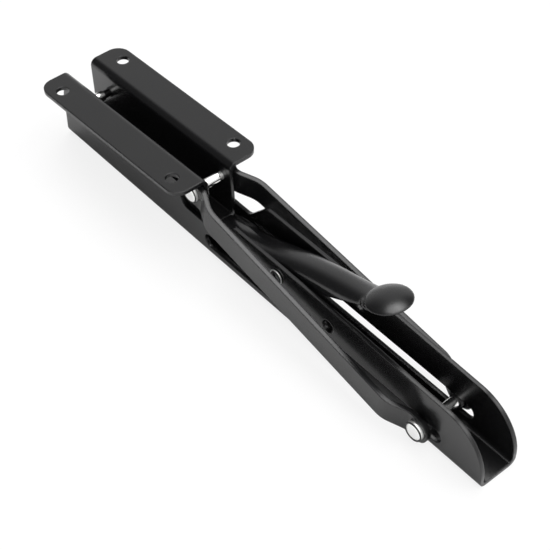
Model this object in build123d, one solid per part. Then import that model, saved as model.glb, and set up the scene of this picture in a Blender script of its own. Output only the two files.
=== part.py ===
from build123d import *
import math
import os

# Folding shelf bracket, drawn folded flat with its wall plate uppermost.
# Millimetres. X runs along the shelf channel, from its hinge end to its nose, and +Z is up.
# While the pieces are made, X = 0 is the hinge end. They are written out with X = 0 at mid length.
# "right" is the -Y side and "left" is the +Y side.

# ---------------------------------------------------------------- driving sizes
# folded sheet
sheet = 2.0
lever_sheet = 1.5

# shelf channel
channel_width = 22.0
channel_wall_height = 32.6
channel_bend = 4.0            # outer radius of the long bends
nose_reach = 35.2             # from the folded slider pin to the nose
nose_radius = 24.0
nose_lip = 6.7                # upright end of the walls below the nose curve
straight_top = 82.0           # level part of the wall tops, from the dip onwards
slot_height = 8.0
slot_spare_hinge = 4.6        # slot beyond the parked roller
slot_spare_nose = 7.4         # slot beyond the folded roller
slider_height = 10.0          # slider pin above the underside
peg_hole_radius = 3.5
peg_hole_height = 21.0
peg_hole_setback = 61.6       # from the folded slider pin
shelf_screw_radius = 2.75
shelf_screw_end = 60.0        # first shelf screw from the hinge end
shelf_screw_spacing = 190.0

# dip in the walls beside the end of the folded plate
dip_depth = 13.2
dip_before = 17.3             # from the plate's end back to the dip's steep side
dip_floor_after = 10.5        # level floor of the dip beyond the plate's end
dip_slope = 47.0              # degrees, long side of the dip
dip_corner = 5.0
dip_shoulder = 4.0

# main hinge
hinge_setback = 12.9          # hinge pin from the channel's hinge end
hinge_height = 24.8
plate_tilt = 2.5              # degrees, the folded plate rises towards its far end
fold_travel = 87.5            # degrees, to stand square to the shelf

# wall plate, a hat section, measured from the hinge pin
plate_behind = 11.2
plate_ahead = 101.8
plate_top = 15.65
plate_depth = 32.0
plate_side_gap = 0.4          # plate web to channel wall
plate_width = 51.6
plate_flange_bend = 1.7       # inside radius, clear of the channel's walls
plate_floor_bend = 0.8
plate_corner = 7.5
wall_hole_radius = 3.3
wall_hole_end = 11.8          # from each end of the plate
wall_hole_edge = 7.0          # from each long edge

# struts
strut_pivot_end = 7.0         # from the plate's far end
strut_pivot_rise = 5.5        # above the hinge pin
strut_width = 13.2
strut_sheet = 2.5
strut_bow = 5.2               # set out near the plate
strut_flare = 3.2             # further set out along its length
strut_joggle = 10.5           # length of the bend near the plate
strut_joggle_end = 10.6       # length of the bend near the slider
strut_foot_seat = 2.2         # from the edge of the rivet head to the bend, at the plate
strut_toe_seat = 1.0          # the same at the slider
strut_foot_bend = 8.0         # radius where the strut leaves the plate
strut_knee_bend = 16.0        # radius where it runs on along the channel
strut_hip_bend = 14.0         # radius where it turns in to the slider
strut_toe_bend = 4.0          # radius beside the slider's rivet
slider_park = 9.1             # parked slider pin beyond the folded plate's end

# pins, rivets and rollers
pin_radius = 2.0
pin_fit = 0.05                # radial clearance of every pin
face_gap = 0.05               # between faces that slide
spacer_wall = 0.7
washer_thickness = 0.5
washer_radius = 4.6
strut_head_radius = 4.9
strut_head_height = 1.8
hinge_head_radius = 4.0
hinge_head_height = 0.8
slider_head_radius = 4.75
slider_head_height = 2.0
head_edge = 0.5
spacer_short = 2.0            # the plate's spacers stop short of its left web
roller_play = 0.4             # roller to slot, above and below
slider_washer_radius = 5.0
slider_washer_thickness = 1.4

# release lever, measured from its pivot
lever_pivot_after = 45.1      # from the parked slider pin
lever_pivot_height = 25.4
lever_rivet_radius = 2.5
lever_rivet_dimple = 2.2
lever_rivet_dimple_depth = 0.6
lever_side_gap = 1.2          # lever wall to channel wall
lever_arch = 4.8              # height of the arched back
lever_back = 7.8              # top of the back above the pivot
lever_tip = 52.6              # from the pivot back to the tip
lever_tip_drop = 9.2          # top of the back at the tip, below the pivot
lever_tip_arch = 2.6
lever_tip_narrow = 0.5        # each side, at the tip
lever_heel = 37.0             # behind the pivot, where the back starts to rise
lever_heel_drop = 5.6
lever_shoulder = 22.2         # ahead of the pivot
lever_shoulder_rise = 15.3
lever_neck = 42.0
lever_neck_rise = 20.9
lever_under_pad = 2.0         # the back ends this far short of the pad's middle
lever_ear = 5.2               # walls below and beside the pivot
lever_ear_round = 4.0
lever_tail_drop = 10.0        # underside of the tail, above the parked slider
skirt_start = 34.0            # lower edge of the walls as they run out to the pad
skirt_start_rise = 11.2
skirt_end = 51.7
skirt_end_rise = 20.6
hook_clearance = 0.2
hook_drop = 12.35
hook_length = 11.0
lip_height = 1.0              # bow of the raised edges along the tail
lip_thickness = 1.0
lip_inset = 0.1               # from the tip's side
lip_start_drop = 10.2
lip_end = 34.5
lip_end_drop = 6.3
pad_radius = 11.0
pad_crown = 2.5               # dome above the rim
pad_rim = 0.7                 # turned-down edge
pad_edge_round = 0.4
pad_tilt = 13.0
pad_ahead = 60.4
pad_rise = 27.6

# torsion spring of the lever
spring_wire = 0.8
spring_play = 0.3             # coil to rivet
spring_turns = 4
spring_spread = 1.15          # pitch over wire thickness
spring_leg = 9.0
spring_leg_angle = 11.0       # degrees above level, below the pressed lever
spring_anchor_ahead = 12.0    # hole in the left wall for the other leg, from the pivot
spring_anchor_drop = 5.9
spring_anchor_fit = 0.3

# ---------------------------------------------------------------- worked out
channel_half = channel_width / 2
channel_inner = channel_half - sheet
web_outer = channel_inner - plate_side_gap
web_inner = web_outer - sheet
bore_radius = pin_radius + pin_fit
tilt = math.radians(plate_tilt)


def plate_point(u, v, turn=0.0):
    """World X and Z of a point of the plate after it turns by `turn` degrees."""
    angle = tilt + math.radians(turn)
    x = hinge_setback + u * math.cos(angle) - v * math.sin(angle)
    z = hinge_height + u * math.sin(angle) + v * math.cos(angle)
    return x, z


strut_pivot_u = plate_ahead - strut_pivot_end
pivot_x, pivot_z = plate_point(strut_pivot_u, strut_pivot_rise)
open_pivot_x, open_pivot_z = plate_point(strut_pivot_u, strut_pivot_rise, fold_travel)
plate_end_x = plate_point(plate_ahead, 0.0)[0]
parked_x = plate_end_x + slider_park
strut_length = math.hypot(open_pivot_x - parked_x, open_pivot_z - slider_height)
slider_x = pivot_x + math.sqrt(strut_length**2 - (pivot_z - slider_height) ** 2)
strut_slope = math.degrees(math.asin((pivot_z - slider_height) / strut_length))
channel_length = slider_x + nose_reach
lever_x = parked_x + lever_pivot_after
roller_radius = slot_height / 2 - roller_play

# stack of the slider, from the middle outwards
roller_inner = channel_inner - 2 * face_gap
roller_outer = channel_half + 3 * face_gap
slider_washer_inner = roller_outer + face_gap
slider_washer_outer = slider_washer_inner + slider_washer_thickness
slider_pin_end = slider_washer_outer + face_gap
strut_end_inner = slider_pin_end + face_gap

# along the strut, where it bends out from the plate and in to the slider
strut_foot = strut_head_radius + strut_foot_seat
strut_toe = strut_length - slider_head_radius - strut_toe_seat

# stack at the strut's pivot on the plate
strut_start_inner = web_outer + washer_thickness
strut_start_outer = strut_start_inner + strut_sheet


# ---------------------------------------------------------------- helpers
def across(face, inner, outer):
    """Extrude a side face from Y = inner to Y = outer."""
    body = extrude(face, amount=outer - inner, dir=(0, 1, 0))
    return Pos(0, inner, 0) * body


def rod(x, z, radius, inner, outer):
    """Cylinder along Y from inner to outer."""
    turned = Rot(-90, 0, 0) * Cylinder(radius, outer - inner, align=(Align.CENTER, Align.CENTER, Align.MIN))
    return Pos(x, inner, z) * turned


def ring(x, z, bore, radius, inner, outer):
    """Washer or tube along Y."""
    return rod(x, z, radius, inner, outer) - rod(x, z, bore, inner, outer)


def head(x, z, radius, height, base, side):
    """Low domed rivet head standing on the face Y = base, on the side +1 or -1."""
    disc = Cylinder(radius, height, align=(Align.CENTER, Align.CENTER, Align.MIN))
    disc = fillet(disc.edges().sort_by(Axis.Z)[-1:], radius=height - head_edge)
    return Pos(x, base, z) * (Rot(-90 * side, 0, 0) * disc)


def on_plate(body):
    """Set a body drawn about the hinge pin onto the folded plate."""
    return Pos(hinge_setback, 0, hinge_height) * (Rot(0, -plate_tilt, 0) * body)


def mirrored_pair(make):
    """Left piece (+Y) and its right counterpart (-Y)."""
    left = make()
    return left, mirror(left, about=Plane.XZ)


# ---------------------------------------------------------------- shelf channel
def channel_section():
    """U section of the channel, in the plane X = 0."""
    outer = Pos(0, channel_wall_height) * Rectangle(channel_width, 2 * channel_wall_height)
    outer = fillet(outer.vertices().group_by(Axis.Y)[0], radius=channel_bend)
    inner = Pos(0, channel_wall_height + sheet) * Rectangle(2 * channel_inner, 2 * channel_wall_height)
    inner = fillet(inner.vertices().group_by(Axis.Y)[0], radius=channel_bend - sheet)
    return outer - inner


def channel_side():
    """Side view of the walls: hinge end, dip, level top and nose."""
    top = channel_wall_height
    corner_rise = top - hinge_height
    corner_x = hinge_setback - math.sqrt(hinge_setback**2 - corner_rise**2)
    half_angle = math.atan2(corner_rise, hinge_setback - corner_x) / 2
    corner_mid = (
        hinge_setback - hinge_setback * math.cos(half_angle),
        hinge_height + hinge_setback * math.sin(half_angle),
    )
    dip_start = plate_end_x - dip_before
    dip_low = top - dip_depth
    dip_end = plate_end_x + dip_floor_after
    dip_top = dip_end + dip_depth / math.tan(math.radians(dip_slope))
    nose_x = channel_length - nose_radius
    nose_mid = nose_radius * math.sqrt(0.5)
    nose_top = nose_lip + nose_radius
    edge = [
        Line((0, 0), (0, hinge_height)),
        ThreePointArc((0, hinge_height), corner_mid, (corner_x, top)),
        Line((corner_x, top), (dip_start, top)),
        Line((dip_start, top), (dip_start, dip_low)),
        Line((dip_start, dip_low), (dip_end, dip_low)),
        Line((dip_end, dip_low), (dip_top, top)),
        Line((dip_top, top), (dip_top + straight_top, top)),
        Line((dip_top + straight_top, top), (nose_x, nose_top)),
        ThreePointArc((nose_x, nose_top), (nose_x + nose_mid, nose_lip + nose_mid), (channel_length, nose_lip)),
        Line((channel_length, nose_lip), (channel_length, 0)),
        Line((channel_length, 0), (0, 0)),
    ]
    face = make_face(edge)
    low = face.vertices().filter_by(lambda v: abs(v.Y - dip_low) < pin_fit)
    face = fillet(low, radius=dip_corner)
    high = face.vertices().filter_by(lambda v: abs(v.Y - top) < pin_fit and v.X > dip_start - sheet)
    return fillet(high, radius=dip_shoulder)


def make_shelf_channel():
    body = extrude(Plane.YZ * channel_section(), amount=channel_length, dir=(1, 0, 0))
    side = Plane.XZ * channel_side()
    body = body & across(side, -channel_width, channel_width)
    slot_start = parked_x - roller_radius - slot_spare_hinge
    slot_end = slider_x + roller_radius + slot_spare_nose
    slot = SlotOverall(slot_end - slot_start, slot_height)
    slot = Plane.XZ * (Pos((slot_start + slot_end) / 2, slider_height) * slot)
    body = body - across(slot, -channel_width, channel_width)
    body = body - rod(hinge_setback, hinge_height, bore_radius, -channel_width, channel_width)
    body = body - rod(lever_x, lever_pivot_height, lever_rivet_radius + pin_fit, -channel_width, channel_width)
    peg_x = slider_x - peg_hole_setback
    body = body - rod(peg_x, peg_hole_height, peg_hole_radius, -channel_width, channel_width)
    anchor_x = lever_x + spring_anchor_ahead
    anchor_z = lever_pivot_height - spring_anchor_drop
    body = body - rod(anchor_x, anchor_z, spring_wire / 2 + spring_anchor_fit, 0, channel_width)
    for step in range(2):
        x = shelf_screw_end + step * shelf_screw_spacing
        body = body - Pos(x, 0, 0) * Cylinder(shelf_screw_radius, 4 * sheet)
    return body


# ---------------------------------------------------------------- wall plate
def plate_section():
    """Hat section of the plate: flanges, webs and floor, with round bends."""
    flange = plate_width / 2
    shoulder = plate_top
    floor = plate_top - plate_depth
    points = [
        (flange, shoulder - sheet / 2),
        (web_outer - sheet / 2, shoulder - sheet / 2),
        (web_outer - sheet / 2, floor + sheet / 2),
        (-web_outer + sheet / 2, floor + sheet / 2),
        (-web_outer + sheet / 2, shoulder - sheet / 2),
        (-flange, shoulder - sheet / 2),
    ]
    flange_radius = plate_flange_bend + sheet / 2
    floor_radius = plate_floor_bend + sheet / 2
    middle = FilletPolyline(*points, radius=[flange_radius, floor_radius, floor_radius, flange_radius])
    return trace(middle, line_width=sheet)


def make_wall_plate():
    length = plate_ahead + plate_behind
    middle_u = (plate_ahead - plate_behind) / 2
    body = extrude(Plane.YZ * plate_section(), amount=length, dir=(1, 0, 0))
    body = Pos(-plate_behind, 0, 0) * body
    outline = Pos(middle_u, 0) * RectangleRounded(length, plate_width, plate_corner)
    body = body & (Pos(0, 0, -plate_depth) * extrude(outline, amount=2 * plate_depth))
    across_holes = plate_width / 2 - wall_hole_edge
    for u in (-plate_behind + wall_hole_end, plate_ahead - wall_hole_end):
        for y in (-across_holes, across_holes):
            body = body - Pos(u, y, plate_top) * Cylinder(wall_hole_radius, 4 * sheet)
    body = body - rod(0, 0, bore_radius, -channel_width, channel_width)
    body = body - rod(strut_pivot_u, strut_pivot_rise, bore_radius, -channel_width, channel_width)
    return on_plate(body)


# ---------------------------------------------------------------- struts
def strut_plan():
    """Edge view of the left strut: along it from the plate's pivot, and outwards."""
    start = strut_start_inner + strut_sheet / 2
    finish = strut_end_inner + strut_sheet / 2
    stations = [
        (-strut_width / 2, start),
        (strut_foot, start),
        (strut_foot + strut_joggle, start + strut_bow),
        (strut_toe - strut_joggle_end, start + strut_bow + strut_flare),
        (strut_toe, finish),
        (strut_length + strut_width / 2, finish),
    ]
    bends = [strut_foot_bend, strut_knee_bend, strut_hip_bend, strut_toe_bend]
    return trace(FilletPolyline(*stations, radius=bends), line_width=strut_sheet)


def make_strut():
    body = extrude(strut_plan(), amount=strut_width / 2, both=True)
    outline = Pos(strut_length / 2, 0) * SlotOverall(strut_length + strut_width, strut_width)
    body = body & across(Plane.XZ * outline, 0, channel_width)
    for along in (0, strut_length):
        body = body - rod(along, 0, bore_radius, 0, channel_width)
    return Pos(pivot_x, 0, pivot_z) * (Rot(0, strut_slope, 0) * body)


def make_strut_rivet():
    body = rod(pivot_x, pivot_z, pin_radius, -strut_start_outer, strut_start_outer)
    for side in (-1, 1):
        base = side * strut_start_outer
        body = body + head(pivot_x, pivot_z, strut_head_radius, strut_head_height, base, side)
    return body


def make_strut_spacer():
    outer = pin_radius + pin_fit + spacer_wall
    return ring(pivot_x, pivot_z, bore_radius, outer, -web_inner, web_inner - spacer_short)


def make_strut_washer():
    return ring(pivot_x, pivot_z, bore_radius, washer_radius, web_outer, strut_start_inner)


# ---------------------------------------------------------------- main hinge
def make_hinge_rivet():
    body = rod(hinge_setback, hinge_height, pin_radius, -channel_half, channel_half)
    for side in (-1, 1):
        base = side * channel_half
        body = body + head(hinge_setback, hinge_height, hinge_head_radius, hinge_head_height, base, side)
    return body


def make_hinge_spacer():
    outer = pin_radius + pin_fit + spacer_wall
    return ring(hinge_setback, hinge_height, bore_radius, outer, -web_inner, web_inner - spacer_short)


# ---------------------------------------------------------------- slider
def make_slider_pin():
    return rod(slider_x, slider_height, pin_radius, -slider_pin_end, slider_pin_end)


def make_slider_sleeve():
    half = roller_inner - face_gap
    return ring(slider_x, slider_height, bore_radius, bore_radius + spacer_wall, -half, half)


def make_slider_roller():
    return ring(slider_x, slider_height, bore_radius, roller_radius, roller_inner, roller_outer)


def make_slider_washer():
    return ring(
        slider_x, slider_height, bore_radius, slider_washer_radius, slider_washer_inner, slider_washer_outer
    )


def make_slider_rivet():
    outer = strut_end_inner + strut_sheet
    shank = rod(slider_x, slider_height, pin_radius, strut_end_inner, outer)
    return shank + head(slider_x, slider_height, slider_head_radius, slider_head_height, outer, 1)


# ---------------------------------------------------------------- release lever
lever_half = channel_inner - lever_side_gap


def lever_station(ahead, back, half, arch, shrink):
    """Arched cross-section of the lever's sheet at a distance ahead of the pivot."""
    width = half - shrink
    spring = back - arch
    foot = spring - lever_pivot_height
    edge = [
        EllipticalCenterArc((0, spring), width, arch - shrink, arc_size=180),
        Line((-width, spring), (-width, foot)),
        Line((-width, foot), (width, foot)),
        Line((width, foot), (width, spring)),
    ]
    return Pos(ahead, 0, 0) * (Plane.YZ * make_face(edge))


def lever_skin(shrink):
    """Loft through the lever's sections, `shrink` inside the outer face."""
    end_ahead = pad_ahead - lever_under_pad
    pad_middle = pad_rise + pad_crown - lever_sheet / 2
    end_back = pad_middle - lever_under_pad * math.tan(math.radians(pad_tilt))
    heel_arch = (lever_arch + lever_tip_arch) / 2
    stations = [
        (-lever_tip, -lever_tip_drop, lever_half - lever_tip_narrow, lever_tip_arch),
        (-lever_heel, -lever_heel_drop, lever_half - lever_tip_narrow / 2, heel_arch),
        (0, lever_back, lever_half, lever_arch),
        (lever_shoulder, lever_shoulder_rise, lever_half, lever_arch),
        (lever_neck, lever_neck_rise, lever_half, lever_arch),
        (end_ahead, end_back, lever_half, lever_arch),
    ]
    return loft([lever_station(*station, shrink) for station in stations])


def lever_lips():
    """Raised edges along the two sides of the lever's tail."""
    start = (-lever_tip, -lip_start_drop)
    end = (-lip_end, -lip_end_drop)
    middle = ((start[0] + end[0]) / 2, (start[1] + end[1]) / 2 + lip_height)
    edge = [
        ThreePointArc(start, middle, end),
        Line(end, (end[0], -lever_tail_drop)),
        Line((end[0], -lever_tail_drop), (start[0], -lever_tail_drop - lip_height)),
        Line((start[0], -lever_tail_drop - lip_height), start),
    ]
    outline = make_face(edge)
    outer = lever_half - lever_tip_narrow - lip_inset
    lip = across(Plane.XZ * outline, outer - lip_thickness, outer)
    return lip + mirror(lip, about=Plane.XZ)


def lever_pad(shrink):
    """Thumb pad, a round dome with its edge turned down, `shrink` inside the outer face."""
    sphere_radius = (pad_radius**2 + pad_crown**2) / (2 * pad_crown)
    dome = Pos(0, 0, pad_crown - sphere_radius) * Sphere(sphere_radius - shrink)
    disc = Cylinder(pad_radius - shrink, 2 * pad_crown + pad_rim, align=(Align.CENTER, Align.CENTER, Align.MIN))
    return dome & (Pos(0, 0, -pad_rim) * disc)


def lever_side():
    """Side view of the lever's walls: tail, hook, ears and rising skirt."""
    hook_face = -lever_pivot_after + bore_radius + spacer_wall + hook_clearance
    outline = Polyline(
        (-lever_tip, -lever_tail_drop),
        (hook_face, -lever_tail_drop),
        (hook_face, -hook_drop),
        (hook_face + hook_length, -hook_drop),
        (-lever_ear, -lever_ear),
        (lever_ear, -lever_ear),
        (skirt_start, skirt_start_rise),
        (skirt_end, skirt_end_rise),
        (pad_ahead, pad_rise),
        (pad_ahead, pad_rise * 2),
        (-lever_tip, pad_rise * 2),
        close=True,
    )
    face = make_face(outline)
    ears = face.vertices().filter_by(lambda v: abs(v.Y + lever_ear) < pin_fit)
    return fillet(ears, radius=lever_ear_round)


def make_release_lever():
    body = lever_skin(0.0) - lever_skin(lever_sheet)
    body = body + lever_lips()
    body = body & across(Plane.XZ * lever_side(), -channel_width, channel_width)
    pad = lever_pad(0.0)
    rim = pad.edges().filter_by(lambda edge: edge.is_closed).sort_by(Axis.Z)[-1:]
    pad = fillet(rim, radius=pad_edge_round) - lever_pad(lever_sheet)
    body = body + Pos(pad_ahead, 0, pad_rise) * (Rot(0, -pad_tilt, 0) * pad)
    body = body - rod(0, 0, lever_rivet_radius + pin_fit, -channel_width, channel_width)
    return Pos(lever_x, 0, lever_pivot_height) * body


def make_lever_rivet():
    body = rod(lever_x, lever_pivot_height, lever_rivet_radius, -channel_half, channel_half)
    for side in (-1, 1):
        base = side * channel_half
        body = body + head(lever_x, lever_pivot_height, hinge_head_radius, hinge_head_height, base, side)
        outer = side * (channel_half + hinge_head_height)
        inner = outer - side * lever_rivet_dimple_depth
        low, high = sorted((inner, outer))
        body = body - rod(lever_x, lever_pivot_height, lever_rivet_dimple, low, high)
    return body


def make_lever_spacer():
    return ring(
        lever_x,
        lever_pivot_height,
        lever_rivet_radius + pin_fit,
        lever_rivet_radius + pin_fit + spacer_wall,
        lever_half + face_gap,
        channel_inner,
    )


def wire(start, direction, length):
    """Straight round wire from a point, with rounded ends."""
    plane = Plane(origin=start, z_dir=direction)
    ball = Sphere(spring_wire / 2)
    straight = Cylinder(spring_wire / 2, length, align=(Align.CENTER, Align.CENTER, Align.MIN))
    return plane * (ball + straight + Pos(0, 0, length) * ball)


def make_lever_spring():
    """Torsion spring round the lever's rivet: one leg under the lever, one hooked in the left wall."""
    mean = lever_rivet_radius + spring_play + spring_wire / 2
    reach = math.hypot(spring_anchor_ahead, spring_anchor_drop)
    anchor_leg = math.sqrt(reach**2 - mean**2)
    anchor_angle = math.degrees(math.atan2(-spring_anchor_drop, spring_anchor_ahead) + math.atan2(mean, anchor_leg))
    first_angle = spring_leg_angle + 90
    last_angle = anchor_angle + 270
    turns = spring_turns + (last_angle - first_angle) / 360
    pitch = spring_wire * spring_spread
    width = pitch * turns
    path = Helix(pitch=pitch, height=width, radius=mean, lefthand=True)
    path = Rot(0, -first_angle, 0) * (Rot(-90, 0, 0) * path)
    section = Plane(origin=path @ 0, z_dir=path % 0) * Circle(spring_wire / 2)
    coil = sweep(section, path=path, is_frenet=True)
    first = -(path % 0)
    last = path % 1
    first_leg = wire(path @ 0, Vector(first.X, 0, first.Z), spring_leg)
    last_leg = wire(path @ 1, Vector(last.X, 0, last.Z), anchor_leg)
    corner = (path @ 1) + Vector(last.X, 0, last.Z).normalized() * anchor_leg
    hook = wire(corner, Vector(0, 1, 0), channel_half - corner.Y)
    spring = coil + first_leg + last_leg + hook
    return Pos(lever_x, -width / 2, lever_pivot_height) * spring


# ---------------------------------------------------------------- write
def write(name, body):
    body = Pos(-channel_length / 2, 0, 0) * body
    export_step(body, os.path.join("parts", name + ".step"))


def main():
    os.makedirs("parts", exist_ok=True)
    write("shelf_channel", make_shelf_channel())
    write("wall_plate", make_wall_plate())
    write("strut_rivet", make_strut_rivet())
    write("strut_spacer", make_strut_spacer())
    write("hinge_rivet", make_hinge_rivet())
    write("hinge_spacer", make_hinge_spacer())
    write("slider_pin", make_slider_pin())
    write("slider_sleeve", make_slider_sleeve())
    write("release_lever", make_release_lever())
    write("lever_rivet", make_lever_rivet())
    write("lever_spring", make_lever_spring())
    pairs = {
        "strut": make_strut,
        "strut_washer": make_strut_washer,
        "slider_roller": make_slider_roller,
        "slider_washer": make_slider_washer,
        "slider_rivet": make_slider_rivet,
        "lever_spacer": make_lever_spacer,
    }
    for name, make in pairs.items():
        left, right = mirrored_pair(make)
        write(name + "_left", left)
        write(name + "_right", right)
    print("channel length", round(channel_length, 3))
    print("hinge", hinge_setback, hinge_height, "strut pivot", round(pivot_x, 3), round(pivot_z, 3))
    print("slider folded", round(slider_x, 3), "parked", round(parked_x, 3))
    print("strut length", round(strut_length, 3), "slope", round(strut_slope, 3))
    print("lever pivot", round(lever_x, 3), lever_pivot_height)


main()
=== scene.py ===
"""Folding shelf bracket: its finishes, rivet rings of painted highlight and painted shade, and
lever skin, with studio and camera.
"""

import logging
import math
from dataclasses import dataclass
from enum import Enum

import bmesh
import bpy
from mathutils import Matrix, Vector


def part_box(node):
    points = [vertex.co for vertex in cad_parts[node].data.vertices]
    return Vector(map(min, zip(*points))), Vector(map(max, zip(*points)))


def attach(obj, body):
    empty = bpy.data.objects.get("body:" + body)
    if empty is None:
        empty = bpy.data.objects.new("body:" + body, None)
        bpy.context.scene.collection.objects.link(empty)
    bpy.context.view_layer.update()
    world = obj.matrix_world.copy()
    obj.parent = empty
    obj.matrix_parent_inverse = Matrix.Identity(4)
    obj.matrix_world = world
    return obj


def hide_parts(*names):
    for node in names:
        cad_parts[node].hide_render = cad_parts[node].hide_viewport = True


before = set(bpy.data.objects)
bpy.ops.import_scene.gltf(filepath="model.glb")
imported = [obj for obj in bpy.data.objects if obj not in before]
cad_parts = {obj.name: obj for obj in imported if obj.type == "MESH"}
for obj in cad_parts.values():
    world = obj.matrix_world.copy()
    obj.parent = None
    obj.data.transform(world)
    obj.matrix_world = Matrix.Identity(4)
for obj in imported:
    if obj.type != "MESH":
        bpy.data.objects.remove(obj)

log = logging.getLogger("bracket")
MM = 0.001
WHITE = (1.0, 1.0, 1.0, 1.0)
BEVEL_SAMPLES = 4


def toward(azimuth: float, elevation: float) -> Vector:
    """Return the unit vector towards a direction.

    Args:
        azimuth: degrees round from -Y towards +X.
        elevation: degrees up from level.

    Returns:
        The unit vector.
    """
    az, el = math.radians(azimuth), math.radians(elevation)
    return Vector((math.sin(az) * math.cos(el), -math.cos(az) * math.cos(el), math.sin(el)))


def make_plain(piece: bpy.types.Object) -> None:
    """Replace a piece's mesh with its evaluated one and remove its modifiers.

    Args:
        piece: the piece with its modifiers.
    """
    graph = bpy.context.evaluated_depsgraph_get()
    piece.data = bpy.data.meshes.new_from_object(piece.evaluated_get(graph))
    piece.modifiers.clear()


# ------------------------------------------------------------------ node helpers
def new_material(name: str) -> tuple[bpy.types.Material, bpy.types.NodeTree, bpy.types.Node]:
    """Make an empty node material.

    Args:
        name: the material's name.

    Returns:
        The material, its node tree and its Principled shader.
    """
    material = bpy.data.materials.new(name)
    material.use_nodes = True
    tree = material.node_tree
    shader = tree.nodes["Principled BSDF"]
    return material, tree, shader


def add(tree: bpy.types.NodeTree, kind: str, **values: object) -> bpy.types.Node:
    """Add a node and set its properties and unlinked inputs.

    Args:
        tree: the tree that receives the node.
        kind: Blender's node type name.
        **values: property or input name (spaces as underscores) and its value.

    Returns:
        The new node.
    """
    node = tree.nodes.new(kind)
    for name, value in values.items():
        title = name.replace("_", " ")
        if title in node.inputs:
            node.inputs[title].default_value = value
        else:
            setattr(node, name, value)
    return node


def vary_roughness(
    tree: bpy.types.NodeTree,
    shader: bpy.types.Node,
    pattern: bpy.types.NodeSocket,
    low: float,
    high: float,
) -> None:
    """Let a pattern move the shader's roughness between two values.

    Args:
        tree: the material's node tree.
        shader: its Principled shader.
        pattern: the pattern's value socket.
        low: roughness where the pattern is 0.
        high: roughness where the pattern is 1.
    """
    gloss = add(tree, "ShaderNodeMapRange")
    gloss.inputs["To Min"].default_value = low
    gloss.inputs["To Max"].default_value = high
    tree.links.new(pattern, gloss.inputs["Value"])
    tree.links.new(gloss.outputs["Result"], shader.inputs["Roughness"])


def add_relief(
    tree: bpy.types.NodeTree,
    shader: bpy.types.Node,
    pattern: bpy.types.NodeSocket,
    strength: float,
    height: float,
    edge_round: float = 0.0,
) -> None:
    """Press a pattern into the surface, over edges that shade as rounded.

    Args:
        tree: the material's node tree.
        shader: its Principled shader.
        pattern: the pattern's value socket.
        strength: the relief's strength.
        height: the relief's height, in metres.
        edge_round: the edges' shading radius, in metres; 0 leaves them sharp.
    """
    link = tree.links.new
    bump = add(tree, "ShaderNodeBump", Strength=strength, Distance=height)
    link(pattern, bump.inputs["Height"])
    if edge_round > 0:
        rounded = add(tree, "ShaderNodeBevel", samples=BEVEL_SAMPLES, Radius=edge_round)
        link(rounded.outputs["Normal"], bump.inputs["Normal"])
    link(bump.outputs["Normal"], shader.inputs["Normal"])


# ------------------------------------------------------------------ finishes
@dataclass(frozen=True)
class PowderCoat:
    """Satin black powder coat with a fine orange-peel surface and softly rounded edges."""

    name: str = "satin_black_powder_coat"
    colour: tuple[float, float, float] = (0.0035, 0.0035, 0.0038)
    fleck_colour: tuple[float, float, float] = (0.0060, 0.0060, 0.0064)
    roughness: float = 0.22
    roughness_spread: float = 0.05
    peel_per_metre: float = 1400.0
    peel_strength: float = 0.10
    peel_height: float = 0.04 * MM
    peel_detail: float = 3.0
    peel_roughness: float = 0.55
    cloud_per_metre: float = 60.0
    cloud_detail: float = 2.0
    cloud_roughness: float = 0.5
    specular_level: float = 0.5
    edge_round: float = 1.0 * MM

    def build(self) -> bpy.types.Material:
        """Build the material's nodes.

        Returns:
            The material.
        """
        material, tree, shader = new_material(self.name)
        link = tree.links.new
        place = add(tree, "ShaderNodeTexCoord")
        peel = add(tree, "ShaderNodeTexNoise", Scale=self.peel_per_metre,
                   Detail=self.peel_detail, Roughness=self.peel_roughness)
        cloud = add(tree, "ShaderNodeTexNoise", Scale=self.cloud_per_metre,
                    Detail=self.cloud_detail, Roughness=self.cloud_roughness)
        link(place.outputs["Object"], peel.inputs["Vector"])
        link(place.outputs["Object"], cloud.inputs["Vector"])
        tint = add(tree, "ShaderNodeMix", data_type="RGBA")
        tint.inputs["A"].default_value = (*self.colour, 1.0)
        tint.inputs["B"].default_value = (*self.fleck_colour, 1.0)
        link(cloud.outputs["Fac"], tint.inputs["Factor"])
        link(tint.outputs["Result"], shader.inputs["Base Color"])
        grain = peel.outputs["Fac"]
        low, high = self.roughness - self.roughness_spread, self.roughness + self.roughness_spread
        vary_roughness(tree, shader, grain, low, high)
        add_relief(tree, shader, grain, self.peel_strength, self.peel_height, self.edge_round)
        shader.inputs["Specular IOR Level"].default_value = self.specular_level
        return material


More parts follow.
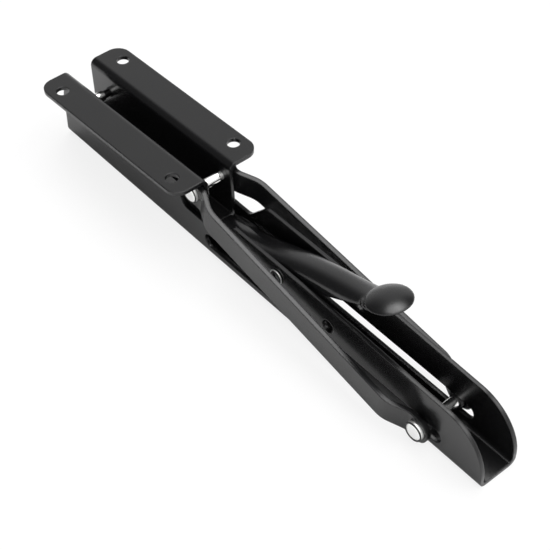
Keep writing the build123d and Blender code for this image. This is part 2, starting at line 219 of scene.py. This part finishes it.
@dataclass(frozen=True)
class BrightPlate:
    """Bright nickel plate with faint turning marks."""

    name: str = "bright_nickel_plate"
    colour: tuple[float, float, float] = (0.84, 0.84, 0.83)
    roughness: float = 0.12
    marks_per_metre: float = 2600.0
    marks_strength: float = 0.05
    marks_height: float = 0.02 * MM
    marks_detail: float = 2.0
    marks_stretch: tuple[float, float, float] = (0.08, 1.0, 0.08)
    smoothest: float = 0.8
    roughest: float = 1.3
    edge_round: float = 0.3 * MM

    def build(self) -> bpy.types.Material:
        """Build the material's nodes.

        Returns:
            The material.
        """
        material, tree, shader = new_material(self.name)
        link = tree.links.new
        place = add(tree, "ShaderNodeTexCoord")
        stretch = add(tree, "ShaderNodeMapping")
        stretch.inputs["Scale"].default_value = self.marks_stretch
        marks = add(tree, "ShaderNodeTexNoise", Scale=self.marks_per_metre,
                    Detail=self.marks_detail)
        link(place.outputs["Object"], stretch.inputs["Vector"])
        link(stretch.outputs["Vector"], marks.inputs["Vector"])
        grain = marks.outputs["Fac"]
        low, high = self.roughness * self.smoothest, self.roughness * self.roughest
        vary_roughness(tree, shader, grain, low, high)
        add_relief(tree, shader, grain, self.marks_strength, self.marks_height, self.edge_round)
        shader.inputs["Base Color"].default_value = (*self.colour, 1.0)
        shader.inputs["Metallic"].default_value = 1.0
        return material


@dataclass(frozen=True)
class PressedHead:
    """Pale satin plate on the faces of the upset rivet heads."""

    name: str = "pale_satin_head"
    colour: tuple[float, float, float] = (0.94, 0.94, 0.93)
    metal_share: float = 0.80
    roughness: float = 0.38
    scuff_per_metre: float = 900.0
    scuff_detail: float = 4.0
    scuff_roughness: float = 0.6
    scuff_strength: float = 0.06
    scuff_height: float = 0.02 * MM
    smoothest: float = 0.85
    roughest: float = 1.2

    def build(self) -> bpy.types.Material:
        """Build the material's nodes.

        Returns:
            The material.
        """
        material, tree, shader = new_material(self.name)
        place = add(tree, "ShaderNodeTexCoord")
        scuff = add(tree, "ShaderNodeTexNoise", Scale=self.scuff_per_metre,
                    Detail=self.scuff_detail, Roughness=self.scuff_roughness)
        tree.links.new(place.outputs["Object"], scuff.inputs["Vector"])
        grain = scuff.outputs["Fac"]
        low, high = self.roughness * self.smoothest, self.roughness * self.roughest
        vary_roughness(tree, shader, grain, low, high)
        add_relief(tree, shader, grain, self.scuff_strength, self.scuff_height)
        shader.inputs["Base Color"].default_value = (*self.colour, 1.0)
        shader.inputs["Metallic"].default_value = self.metal_share
        return material


class Finish(Enum):
    """The bracket's finishes, each set on whole pieces and on the rivet rings."""

    BLACK_COAT = "black_coat"
    BLACK_NYLON = "black_nylon"
    BRIGHT_PIN = "bright_pin"
    RIVET_HEAD = "rivet_head"
    ZINC = "zinc"
    SPRING_STEEL = "spring_steel"


def build_finishes() -> dict[Finish, bpy.types.Material]:
    """Make every finish once.

    Returns:
        The materials by finish.
    """
    return {
        Finish.BLACK_COAT: PowderCoat().build(),
        Finish.BLACK_NYLON: PowderCoat(
            name="black_nylon", roughness=0.5, peel_strength=0.2
        ).build(),
        Finish.BRIGHT_PIN: BrightPlate().build(),
        Finish.RIVET_HEAD: PressedHead().build(),
        Finish.ZINC: BrightPlate(
            name="plain_zinc_plate", colour=(0.58, 0.58, 0.60), roughness=0.34
        ).build(),
        Finish.SPRING_STEEL: BrightPlate(
            name="oiled_spring_wire", colour=(0.26, 0.26, 0.27), roughness=0.30
        ).build(),
    }


# ------------------------------------------------------------------ sub-assemblies
@dataclass
class SubAssembly:
    """A group of pieces that share a body, each with its finish."""

    finishes: dict[Finish, bpy.types.Material]
    pieces: dict[str, Finish]

    def dress(self) -> None:
        """Give each piece its finish."""
        for name, finish in self.pieces.items():
            piece = bpy.data.objects[name]
            material = self.finishes[finish]
            for slot in piece.material_slots:
                slot.material = material
            for polygon in piece.data.polygons:
                polygon.material_index = 0
            log.info("%s: %s", name, material.name)


def build_bracket(finishes: dict[Finish, bpy.types.Material]) -> list[SubAssembly]:
    """Make the sub-assemblies in the order in which they go together.

    Args:
        finishes: the materials by finish.

    Returns:
        The sub-assemblies.
    """
    black, nylon = Finish.BLACK_COAT, Finish.BLACK_NYLON
    bright, zinc, head = Finish.BRIGHT_PIN, Finish.ZINC, Finish.RIVET_HEAD
    return [
        SubAssembly(finishes, {
            "shelf_channel": black,
            "hinge_rivet": black,
            "lever_rivet": black,
            "lever_spacer_left": black,
            "lever_spacer_right": black,
            "lever_spring": Finish.SPRING_STEEL,
        }),
        SubAssembly(finishes, {
            "wall_plate": black,
            "hinge_spacer": bright,
            "strut_rivet": head,
            "strut_spacer": bright,
            "strut_washer_left": zinc,
            "strut_washer_right": zinc,
        }),
        SubAssembly(finishes, {
            "strut_left": black,
            "strut_right": black,
            "slider_rivet_left": head,
            "slider_rivet_right": head,
        }),
        SubAssembly(finishes, {
            "slider_pin": bright,
            "slider_sleeve": bright,
            "slider_roller_left": nylon,
            "slider_roller_right": nylon,
            "slider_washer_left": black,
            "slider_washer_right": black,
        }),
        SubAssembly(finishes, {"release_lever": black}),
    ]


@dataclass
class PaintedLightRings:
    """Rings round the heads of rivets that lie across the bracket, in one mesh on one body; a pale
    ring is a painted highlight, a black ring a painted shade.
    """

    name: str
    body: str
    finish: Finish
    rivets: tuple[str, ...]
    head_height: float
    ring_thickness: float
    lift: float
    overhang: float
    path_points: int = 56
    wire_points: int = 12

    def seats(self) -> tuple[list[Vector], float]:
        """Find where the rings sit, from the rivets' own boxes.

        Returns:
            The ring middles and the ring radius.
        """
        middles: list[Vector] = []
        radius = 0.0
        for rivet in self.rivets:
            low, high = (Vector(corner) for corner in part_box(rivet))
            radius = (high.x - low.x) / 2 + self.overhang
            middle = (low + high) / 2
            for edge, side in ((low.y, -1.0), (high.y, 1.0)):
                if edge * side > 0:
                    reach = edge - side * (self.head_height - self.lift)
                    middles.append(Vector((middle.x, reach, middle.z)))
        return middles, radius

    def ring_tree(self) -> bpy.types.NodeTree:
        """Build the Geometry Nodes tree that sets a ring on each point, across the bracket.

        Returns:
            The node tree.
        """
        tree = bpy.data.node_groups.new("painted_light_rings", "GeometryNodeTree")
        face = tree.interface
        face.new_socket("Geometry", in_out="INPUT", socket_type="NodeSocketGeometry")
        for title in ("Ring Radius", "Ring Thickness"):
            face.new_socket(title, in_out="INPUT", socket_type="NodeSocketFloat")
        face.new_socket("Ring Painted Light Material", in_out="INPUT", socket_type="NodeSocketMaterial")
        face.new_socket("Geometry", in_out="OUTPUT", socket_type="NodeSocketGeometry")
        link = tree.links.new
        start = add(tree, "NodeGroupInput")
        path = add(tree, "GeometryNodeCurvePrimitiveCircle", Resolution=self.path_points)
        wire = add(tree, "GeometryNodeCurvePrimitiveCircle", Resolution=self.wire_points)
        swept = add(tree, "GeometryNodeCurveToMesh")
        turned = add(tree, "GeometryNodeTransform", Rotation=(math.pi / 2, 0.0, 0.0))
        smooth = add(tree, "GeometryNodeSetShadeSmooth")
        placed = add(tree, "GeometryNodeInstanceOnPoints")
        real = add(tree, "GeometryNodeRealizeInstances")
        dressed = add(tree, "GeometryNodeSetMaterial")
        end = add(tree, "NodeGroupOutput")
        link(start.outputs["Ring Radius"], path.inputs["Radius"])
        link(start.outputs["Ring Thickness"], wire.inputs["Radius"])
        link(path.outputs["Curve"], swept.inputs["Curve"])
        link(wire.outputs["Curve"], swept.inputs["Profile Curve"])
        link(swept.outputs["Mesh"], turned.inputs["Geometry"])
        link(turned.outputs["Geometry"], smooth.inputs["Geometry"])
        link(start.outputs["Geometry"], placed.inputs["Points"])
        link(smooth.outputs["Geometry"], placed.inputs["Instance"])
        link(placed.outputs["Instances"], real.inputs["Geometry"])
        link(real.outputs["Geometry"], dressed.inputs["Geometry"])
        link(start.outputs["Ring Painted Light Material"], dressed.inputs["Material"])
        link(dressed.outputs["Geometry"], end.inputs["Geometry"])
        return tree

    def build(self, finishes: dict[Finish, bpy.types.Material]) -> None:
        """Make the rings, turn them to a plain mesh and set them on their body.

        Args:
            finishes: the materials by finish.
        """
        middles, radius = self.seats()
        mesh = bpy.data.meshes.new(self.name)
        mesh.from_pydata(middles, [], [])
        rings = bpy.data.objects.new(self.name, mesh)
        bpy.context.scene.collection.objects.link(rings)
        maker = rings.modifiers.new("rings", "NODES")
        maker.node_group = self.ring_tree()
        values = {
            "Ring Radius": radius,
            "Ring Thickness": self.ring_thickness,
            "Ring Painted Light Material": finishes[self.finish],
        }
        for socket in maker.node_group.interface.items_tree:
            if socket.in_out == "INPUT" and socket.name in values:
                maker[socket.identifier] = values[socket.name]
        make_plain(rings)
        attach(rings, self.body)
        log.info("%s: %d rings on %s", self.name, len(middles), self.body)


PAINTED_LIGHT_RINGS = (
    # Painted highlight: a pale ring on each black lever and hinge rivet head stands in for its
    # bright rim reflection.
    PaintedLightRings("channel_rivet_painted_highlight", "channel", Finish.RIVET_HEAD, ("lever_rivet", "hinge_rivet"),
               head_height=0.8 * MM, ring_thickness=0.34 * MM, lift=0.66 * MM, overhang=-0.25 * MM),
    # Painted shade: a black ring round each pale pressed rivet head stands in for the shadow along
    # its side.
    PaintedLightRings("plate_rivet_painted_shade", "plate", Finish.BLACK_COAT, ("strut_rivet",),
               head_height=1.8 * MM, ring_thickness=0.34 * MM, lift=1.5 * MM, overhang=-0.10 * MM),
    PaintedLightRings("strut_rivet_painted_shade", "struts", Finish.BLACK_COAT,
               ("slider_rivet_left", "slider_rivet_right"),
               head_height=2.0 * MM, ring_thickness=0.38 * MM, lift=1.7 * MM, overhang=-0.10 * MM),
)


@dataclass
class ThumbLever:
    """Release lever pressed from one sheet, whose arm flows into the thumb pad."""

    name: str = "thumb_lever_skin"
    merge_reach: float = 0.001 * MM
    voxel: float = 0.42 * MM
    web_reach: float = 8.0 * MM
    web_width: float = 9.2 * MM
    web_thickness: float = 2.2 * MM
    web_behind_pad: float = 5.3 * MM
    web_below_pad: float = 5.3 * MM
    web_tilt: float = 17.0
    web_segments: int = 40
    web_rings: int = 20
    pad_length: float = 22.0 * MM
    soft_ahead: float = 8.0 * MM
    soft_behind: float = 12.0 * MM
    smooth_turns: int = 40
    finish_turns: int = 3
    smooth_factor: float = 0.5

    def add_web(self, shape: bmesh.types.BMesh, pad_middle: Vector) -> None:
        """Add the pressed web that joins the arm's end to the pad's underside.

        Args:
            shape: the lever's mesh.
            pad_middle: the middle of the pad's top.
        """
        place = pad_middle - Vector((self.web_behind_pad, 0.0, self.web_below_pad))
        turn = Matrix.Rotation(-math.radians(self.web_tilt), 4, "Y")
        size = Matrix.Diagonal((self.web_reach, self.web_width, self.web_thickness, 1.0))
        matrix = Matrix.Translation(place) @ turn @ size
        bmesh.ops.create_uvsphere(shape, u_segments=self.web_segments,
                                  v_segments=self.web_rings, radius=1.0, matrix=matrix)

    def soften(self, piece: bpy.types.Object, pad_middle: Vector) -> None:
        """Smooth the whole skin lightly and the joint of arm and pad strongly.

        Args:
            piece: the remeshed lever.
            pad_middle: the middle of the pad's top.
        """
        joint = piece.vertex_groups.new(name="joint")
        joint_x = pad_middle.x - self.pad_length / 2
        for vertex in piece.data.vertices:
            away = vertex.co.x - joint_x
            reach = self.soft_ahead if away > 0 else self.soft_behind
            share = max(0.0, 1.0 - abs(away) / reach)
            if share > 0:
                joint.add([vertex.index], share, "REPLACE")
        strong = piece.modifiers.new("joint_softener", "SMOOTH")
        strong.factor = self.smooth_factor
        strong.iterations = self.smooth_turns
        strong.vertex_group = joint.name
        light = piece.modifiers.new("skin_softener", "SMOOTH")
        light.factor = self.smooth_factor
        light.iterations = self.finish_turns

    def build(self, material: bpy.types.Material) -> None:
        """Make the lever's skin from its solid, dress it and set it on the lever's body.

        Args:
            material: the coat that it takes.
        """
        high = Vector(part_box("release_lever")[1])
        pad_middle = Vector((high.x - self.pad_length / 2, 0.0, high.z - self.web_thickness))
        shape = bmesh.new()
        shape.from_mesh(bpy.data.objects["release_lever"].data)
        bmesh.ops.remove_doubles(shape, verts=shape.verts, dist=self.merge_reach)
        self.add_web(shape, pad_middle)
        mesh = bpy.data.meshes.new(self.name)
        shape.to_mesh(mesh)
        shape.free()
        piece = bpy.data.objects.new(self.name, mesh)
        bpy.context.scene.collection.objects.link(piece)
        remesh = piece.modifiers.new("skin", "REMESH")
        remesh.mode = "VOXEL"
        remesh.voxel_size = self.voxel
        make_plain(piece)
        self.soften(piece, pad_middle)
        make_plain(piece)
        for polygon in piece.data.polygons:
            polygon.use_smooth = True
            polygon.material_index = 0
        piece.data.materials.clear()
        piece.data.materials.append(material)
        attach(piece, "lever")
        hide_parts("release_lever")
        log.info("%s: %d faces, %s", self.name, len(piece.data.polygons), material.name)


# ------------------------------------------------------------------ studio
@dataclass(frozen=True)
class SoftPatch:
    """A soft round patch of the surround, brighter or darker than the rest."""

    azimuth: float
    elevation: float
    core: float
    rim: float
    strength: float


SOFT_BOX = (
    SoftPatch(azimuth=-130.0, elevation=72.0, core=8.0, rim=20.0, strength=3.6),
    SoftPatch(azimuth=-150.0, elevation=60.0, core=3.0, rim=14.0, strength=2.6),
)
FRONT_LIGHTS = (
    SoftPatch(azimuth=35.0, elevation=12.0, core=10.0, rim=28.0, strength=1.6),
    SoftPatch(azimuth=95.0, elevation=62.0, core=18.0, rim=38.0, strength=1.6),
    SoftPatch(azimuth=145.0, elevation=50.0, core=8.0, rim=20.0, strength=1.5),
)
DARK_FLAGS = (
    SoftPatch(azimuth=-48.0, elevation=30.0, core=28.0, rim=62.0, strength=-0.70),
    SoftPatch(azimuth=-172.0, elevation=38.0, core=12.0, rim=26.0, strength=-0.55),
)


@dataclass
class Studio:
    """White floor and pale surround, with soft lights."""

    floor_half: float = 3.0
    floor_glow: float = 0.82
    mirrored_glow: float = 0.05
    floor_colour: tuple[float, float, float] = (0.86, 0.86, 0.86)
    world_light: float = 0.82
    patches: tuple[SoftPatch, ...] = SOFT_BOX + FRONT_LIGHTS + DARK_FLAGS
    fill_place: tuple[float, float, float] = (-0.35, 0.30, 1.4)
    fill_size: float = 0.5
    fill_power: float = 0.5

    def glow_share(self, tree: bpy.types.NodeTree) -> bpy.types.NodeSocket:
        """Build the floor's own glow for camera, glossy and transmission rays.

        Args:
            tree: the floor material's node tree.

        Returns:
            The socket that holds the glow's share.
        """
        link = tree.links.new
        path = add(tree, "ShaderNodeLightPath")
        seen = add(tree, "ShaderNodeMath", operation="MULTIPLY")
        mirrored = add(tree, "ShaderNodeMath", operation="MULTIPLY")
        either = add(tree, "ShaderNodeMath", operation="MAXIMUM")
        total = add(tree, "ShaderNodeMath", operation="MAXIMUM")
        seen.inputs[1].default_value = self.floor_glow
        mirrored.inputs[1].default_value = self.mirrored_glow
        link(path.outputs["Is Glossy Ray"], either.inputs[0])
        link(path.outputs["Is Transmission Ray"], either.inputs[1])
        link(path.outputs["Is Camera Ray"], seen.inputs[0])
        link(either.outputs[0], mirrored.inputs[0])
        link(seen.outputs[0], total.inputs[0])
        link(mirrored.outputs[0], total.inputs[1])
        return total.outputs[0]

    def floor_material(self) -> bpy.types.Material:
        """Make the white floor's material, which keeps the bracket's shadow.

        Returns:
            The material.
        """
        material = bpy.data.materials.new("studio_floor")
        material.use_nodes = True
        tree = material.node_tree
        tree.nodes.clear()
        link = tree.links.new
        matt = add(tree, "ShaderNodeBsdfDiffuse", Color=(*self.floor_colour, 1.0))
        glow = add(tree, "ShaderNodeEmission", Color=WHITE, Strength=1.0)
        mixed = add(tree, "ShaderNodeMixShader")
        link(self.glow_share(tree), mixed.inputs["Fac"])
        link(matt.outputs[0], mixed.inputs[1])
        link(glow.outputs[0], mixed.inputs[2])
        out = add(tree, "ShaderNodeOutputMaterial")
        link(mixed.outputs[0], out.inputs["Surface"])
        return material

    def build_floor(self) -> None:
        """Lay the floor under the bracket."""
        half = self.floor_half
        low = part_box("shelf_channel")[0][2]
        mesh = bpy.data.meshes.new("studio_floor")
        corners = [(-half, -half, low), (half, -half, low), (half, half, low), (-half, half, low)]
        mesh.from_pydata(corners, [], [(0, 1, 2, 3)])
        mesh.materials.append(self.floor_material())
        floor = bpy.data.objects.new("studio_floor", mesh)
        bpy.context.scene.collection.objects.link(floor)

    def direction_share(self, tree: bpy.types.NodeTree, patch: SoftPatch) -> bpy.types.NodeSocket:
        """Build a patch's light: its strength at its middle, and 0 beyond its rim.

        Args:
            tree: the world's node tree.
            patch: the patch of the surround.

        Returns:
            The socket that holds the light.
        """
        link = tree.links.new
        place = add(tree, "ShaderNodeTexCoord")
        along = add(tree, "ShaderNodeVectorMath", operation="DOT_PRODUCT")
        along.inputs[1].default_value = toward(patch.azimuth, patch.elevation)
        link(place.outputs["Generated"], along.inputs[0])
        ramp = add(tree, "ShaderNodeMapRange", interpolation_type="SMOOTHSTEP")
        ramp.inputs["From Min"].default_value = math.cos(math.radians(patch.rim))
        ramp.inputs["From Max"].default_value = math.cos(math.radians(patch.core))
        ramp.inputs["To Max"].default_value = patch.strength
        link(along.outputs["Value"], ramp.inputs["Value"])
        return ramp.outputs["Result"]

    def build_world(self) -> None:
        """Build the pale surround with its soft boxes, front lights and dark flags."""
        world = bpy.data.worlds.new("studio")
        bpy.context.scene.world = world
        world.use_nodes = True
        tree = world.node_tree
        tree.nodes.clear()
        link = tree.links.new
        total = add(tree, "ShaderNodeValue")
        total.outputs[0].default_value = self.world_light
        level = total.outputs[0]
        for patch in self.patches:
            step = add(tree, "ShaderNodeMath", operation="ADD")
            link(level, step.inputs[0])
            link(self.direction_share(tree, patch), step.inputs[1])
            level = step.outputs[0]
        fill = add(tree, "ShaderNodeBackground", Color=WHITE)
        link(level, fill.inputs["Strength"])
        seen = add(tree, "ShaderNodeBackground", Color=WHITE, Strength=1.0)
        path = add(tree, "ShaderNodeLightPath")
        mixed = add(tree, "ShaderNodeMixShader")
        link(path.outputs["Is Camera Ray"], mixed.inputs["Fac"])
        link(fill.outputs[0], mixed.inputs[1])
        link(seen.outputs[0], mixed.inputs[2])
        out = add(tree, "ShaderNodeOutputWorld")
        link(mixed.outputs[0], out.inputs["Surface"])

    def build_lamp(self) -> None:
        """Hang the soft square fill lamp, pointed at the bracket."""
        lamp = bpy.data.lights.new("fill_lamp", "AREA")
        lamp.size = self.fill_size
        lamp.energy = self.fill_power
        holder = bpy.data.objects.new("fill_lamp", lamp)
        holder.location = self.fill_place
        holder.rotation_euler = (-Vector(self.fill_place)).to_track_quat("-Z", "Y").to_euler()
        bpy.context.scene.collection.objects.link(holder)


@dataclass(frozen=True)
class View:
    """Camera: a long lens that looks down on the bracket from its nose end."""

    azimuth: float = 49.318
    elevation: float = 47.042
    distance: float = 0.70003
    aim: tuple[float, float, float] = (-0.00025, 0.0, 0.017)
    slide_right: float = 0.003017
    slide_up: float = -0.009275
    lens: float = 97.10
    sensor: float = 36.0
    nearest: float = 0.01

    def build(self) -> None:
        """Create the camera and make it the scene's camera."""
        back = toward(self.azimuth, self.elevation)
        right = Vector((0, 0, 1)).cross(back).normalized()
        up = back.cross(right)
        place = Vector(self.aim) + back * self.distance
        place += right * self.slide_right + up * self.slide_up
        data = bpy.data.cameras.new("camera")
        data.lens = self.lens
        data.sensor_width = self.sensor
        data.clip_start = self.nearest
        camera = bpy.data.objects.new("camera", data)
        turn = Matrix((right, up, back)).transposed()
        camera.matrix_world = Matrix.Translation(place) @ turn.to_4x4()
        bpy.context.scene.collection.objects.link(camera)
        bpy.context.scene.camera = camera


def main() -> None:
    """Build the studio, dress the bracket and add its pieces."""
    logging.basicConfig(level=logging.INFO, format="%(message)s")
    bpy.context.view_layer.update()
    bpy.context.scene.view_settings.view_transform = "Standard"
    View().build()
    studio = Studio()
    studio.build_world()
    studio.build_floor()
    studio.build_lamp()
    finishes = build_finishes()
    for assembly in build_bracket(finishes):
        assembly.dress()
    for rings in PAINTED_LIGHT_RINGS:
        rings.build(finishes)
    ThumbLever().build(finishes[Finish.BLACK_COAT])


if __name__ == "__main__":
    main()
